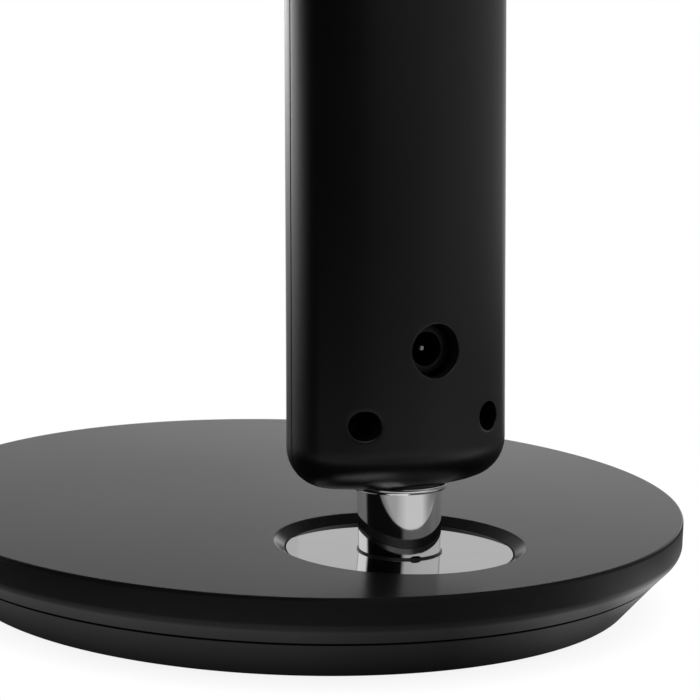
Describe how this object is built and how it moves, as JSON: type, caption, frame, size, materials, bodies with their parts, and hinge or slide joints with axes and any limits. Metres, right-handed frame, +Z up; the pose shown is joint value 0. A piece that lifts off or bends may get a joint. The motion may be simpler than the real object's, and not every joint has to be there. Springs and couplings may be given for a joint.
{
  "type": "led desk lamp",
  "caption": "Desk lamp with a round weighted base, a chrome swivel post, a slim upright arm and a tilting LED bar worked by push buttons.",
  "frame": {"origin": "centre of the rubber pad's face, on the surface that the lamp stands on", "axes": "+Z up, -Y the way the LED bar reaches, +X to the right seen from the front"},
  "size_m": [0.1566, 0.3765, 0.3575],
  "materials": {
    "base_black": "satin",
    "satin_black": "satin",
    "cast_black": "satin",
    "trim_black": "matte",
    "chrome": "polished",
    "mirror_polish": "polished",
    "pad_rubber": "matte",
    "plain_steel": "satin",
    "screw_steel": "satin",
    "cast_alloy": "satin",
    "board_white": "satin",
    "nylon": "matte",
    "board_green": "satin",
    "component_dark": "matte",
    "jack_black": "matte",
    "jack_contact": "polished",
    "led_amber": "gloss",
    "opal": "matte",
    "lead_red": "satin"
  },
  "bodies": {
    "base": {"base_top_cover": "base_black", "base_bottom_cover": "base_black", "foot_pad": "pad_rubber", "ballast_plate": "plain_steel", "ballast_screws": "screw_steel", "base_screws": "screw_steel", "mirror_disc": "mirror_polish", "swivel_bush": "nylon", "stop_pin": "plain_steel"},
    "arm": {"swivel_washer": "nylon", "stop_plate": "plain_steel", "swivel_spring_washer": "plain_steel", "swivel_nut": "plain_steel", "pivot_stem": "plain_steel", "foot_ring": "trim_black", "post_sleeve": "chrome", "collar_ring": "chrome", "arm_rear_cover": "satin_black", "arm_front_cover": "satin_black", "arm_screws": "screw_steel", "arm_spine": "plain_steel", "stem_clamp": "cast_alloy", "hinge_yoke": "cast_black", "spine_screws": "screw_steel", "driver_board": "board_green", "board_spacers": "nylon", "board_screws": "screw_steel", "driver_parts": "component_dark", "dc_jack": "jack_black", "jack_pin": "jack_contact", "arm_leads": "lead_red", "hinge_bolt": "plain_steel", "hinge_washers": "nylon", "hinge_spring_washer": "plain_steel", "hinge_nut": "plain_steel", "hinge_cap_right": "trim_black", "hinge_cap_left": "trim_black"},
    "bar": {"bar_knuckle": "cast_black", "bar_cover": "satin_black", "bar_frame": "satin_black", "diffuser": "opal", "led_board": "board_white", "led_chips": "led_amber", "led_board_screws": "screw_steel", "neck_screws": "screw_steel", "switch_board": "board_green", "tact_switches": "component_dark", "bar_leads": "lead_red"},
    "power_key": {"power_button": "trim_black"},
    "brighter_key": {"brighter_button": "trim_black"},
    "dimmer_key": {"dimmer_button": "trim_black"}
  },
  "joints": [
    {"name": "swivel", "type": "hinge", "parent": "base", "child": "arm", "pos_m": [0, 0.04, 0.0175], "axis": [0, 0, 1], "range_deg": [-90, 90]},
    {"name": "bar_tilt", "type": "hinge", "parent": "arm", "child": "bar", "pos_m": [0, 0.01783, 0.34675], "axis": [-1, 0, 0], "range_deg": [-30, 85]},
    {"name": "power_press", "type": "slide", "parent": "bar", "child": "power_key", "axis": [0, 0, -1], "range_m": [0, 0.0006], "stiffness_N_per_m": 1500},
    {"name": "brighter_press", "type": "slide", "parent": "bar", "child": "brighter_key", "axis": [0, 0, -1], "range_m": [0, 0.0006], "stiffness_N_per_m": 1500},
    {"name": "dimmer_press", "type": "slide", "parent": "bar", "child": "dimmer_key", "axis": [0, 0, -1], "range_m": [0, 0.0006], "stiffness_N_per_m": 1500}
  ]
}
